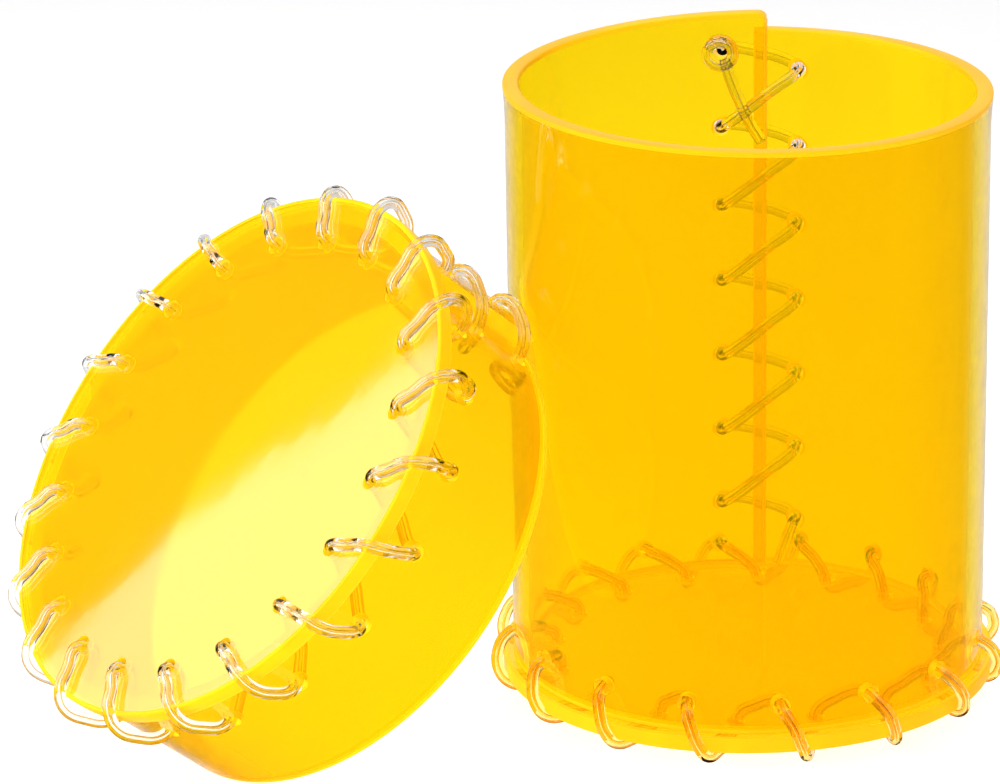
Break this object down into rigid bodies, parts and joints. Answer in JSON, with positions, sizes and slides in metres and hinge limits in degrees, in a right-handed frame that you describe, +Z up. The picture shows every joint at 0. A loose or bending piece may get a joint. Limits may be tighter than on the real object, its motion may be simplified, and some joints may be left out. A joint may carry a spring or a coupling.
{
  "type": "lidded cup",
  "caption": "Upright cup rolled from translucent yellow sheet, laced down its lap seam and round its base, with a shallow laced slip-over lid leaning on its side.",
  "frame": {"origin": "point on the table under the middle of the cup", "axes": "+Z up along the cup's axis, +X to the right of the lid side, +Y to the back, where the cup's seam is"},
  "size_m": [0.1872, 0.1414, 0.1201],
  "materials": {
    "cup_wall_sheet": "glossy, translucent",
    "cup_disc_sheet": "glossy, translucent",
    "lid_wall_sheet": "glossy, translucent",
    "lid_disc_sheet": "glossy, translucent",
    "clear_lace": "glossy, clear"
  },
  "bodies": {
    "cup": {"cup_base_disc": "cup_disc_sheet", "cup_wall": "cup_wall_sheet", "cup_base_lace": "clear_lace", "cup_seam_lace": "clear_lace", "cup_seam_knot": "clear_lace", "cup_seam_tail": "clear_lace"},
    "lid": {"lid_disc": "lid_disc_sheet", "lid_wall": "lid_wall_sheet", "lid_rim_lace": "clear_lace", "lid_seam_lace": "clear_lace", "lid_seam_knot": "clear_lace"}
  },
  "joints": [
    {"name": "lid_lift", "type": "slide", "parent": "cup", "child": "lid", "axis": [-0.6197, -0.4503, 0.6428], "range_m": [0, 0.09]}
  ]
}
